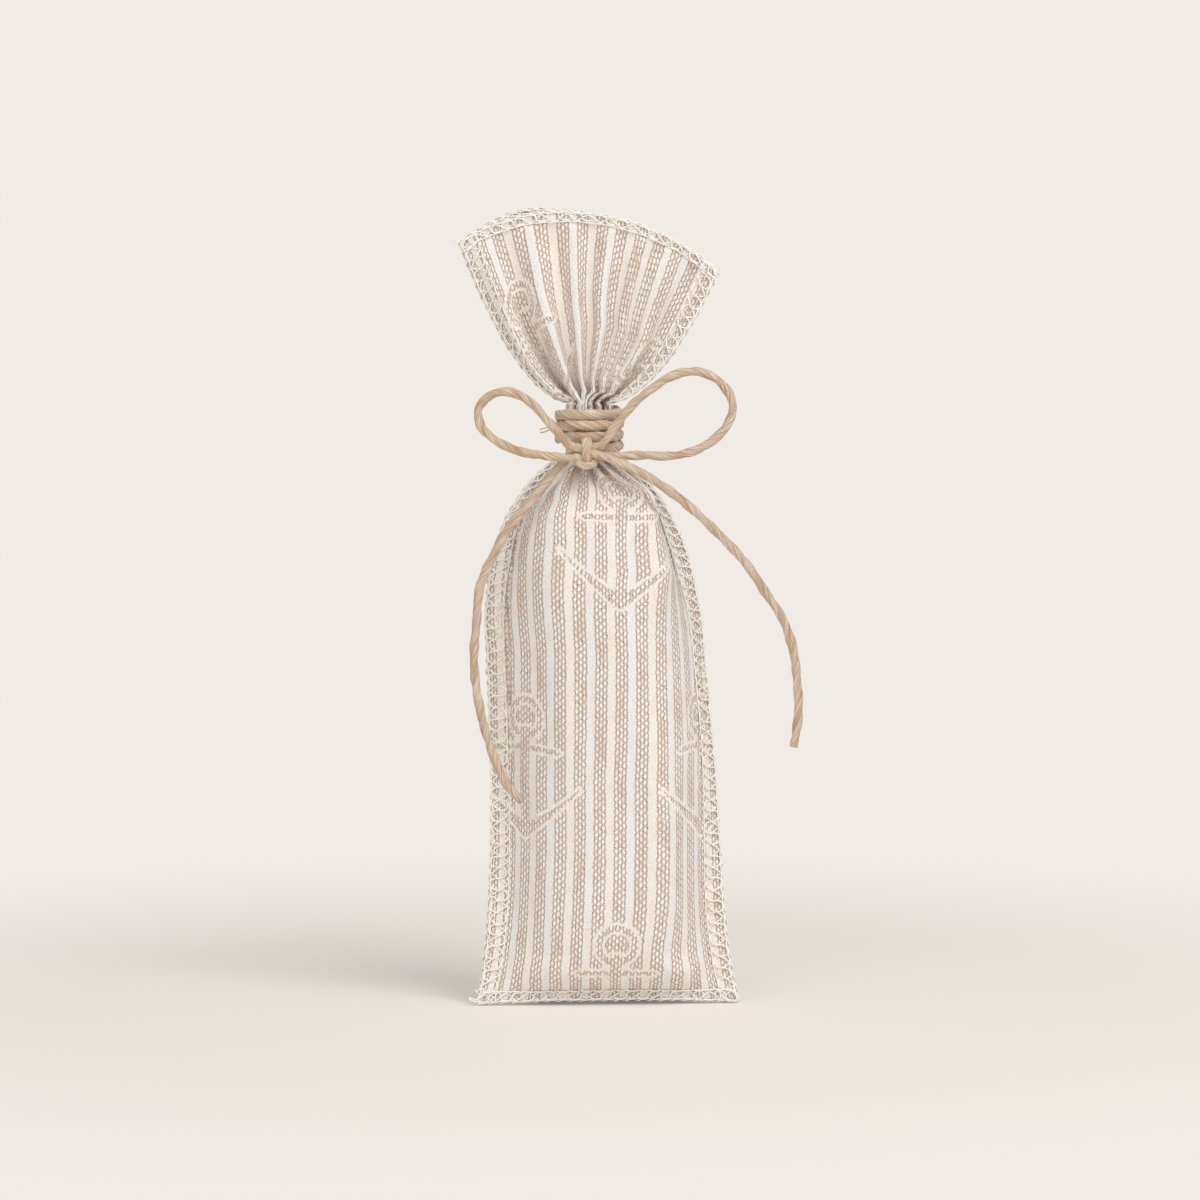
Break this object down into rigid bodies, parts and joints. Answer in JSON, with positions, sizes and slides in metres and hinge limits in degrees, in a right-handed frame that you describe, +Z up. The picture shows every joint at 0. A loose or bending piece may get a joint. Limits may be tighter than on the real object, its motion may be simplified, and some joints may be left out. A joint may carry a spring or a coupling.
{
  "type": "scented pouch",
  "caption": "Slim flat-sewn cotton pouch with overlocked edges, filled with dried flowers, its neck bound with paper twine tied in a bow under a fanned top.",
  "frame": {"origin": "middle of the footprint, on the surface that the pouch stands on", "axes": "+Z up along the pouch, front with the bow towards -Y, +X to the right seen from the front"},
  "size_m": [0.0804, 0.0291, 0.1864],
  "materials": {
    "striped_cotton": "woven stripes, matte",
    "overlock_thread": "spun thread, matte",
    "paper_twine": "twisted paper, matte",
    "dried_flowers": "loose dried buds"
  },
  "bodies": {
    "pouch": {"front_panel": "striped_cotton", "back_panel": "striped_cotton", "overlock_left": "overlock_thread", "overlock_right": "overlock_thread", "overlock_bottom": "overlock_thread", "overlock_top_front": "overlock_thread", "overlock_top_back": "overlock_thread", "filling": "dried_flowers", "twine_winding": "paper_twine", "bow_knot": "paper_twine"},
    "loop_left": {"bow_loop_left": "paper_twine"},
    "loop_right": {"bow_loop_right": "paper_twine"},
    "strand_left": {"tail_left": "paper_twine"},
    "strand_right": {"tail_right": "paper_twine"}
  },
  "joints": [
    {"name": "loop_left_swing", "type": "hinge", "parent": "pouch", "child": "loop_left", "pos_m": [-0.0036, -0.0113, 0.1301], "axis": [0, 1, 0], "range_deg": [-12, 12]},
    {"name": "loop_right_swing", "type": "hinge", "parent": "pouch", "child": "loop_right", "pos_m": [-0.0036, -0.0113, 0.1301], "axis": [0, 1, 0], "range_deg": [-12, 12]},
    {"name": "tail_left_swing", "type": "hinge", "parent": "pouch", "child": "strand_left", "pos_m": [-0.0036, -0.0113, 0.1301], "axis": [0, 1, 0], "range_deg": [0, 30]},
    {"name": "tail_right_swing", "type": "hinge", "parent": "pouch", "child": "strand_right", "pos_m": [-0.0036, -0.0113, 0.1301], "axis": [0, 1, 0], "range_deg": [-25, 15]}
  ]
}
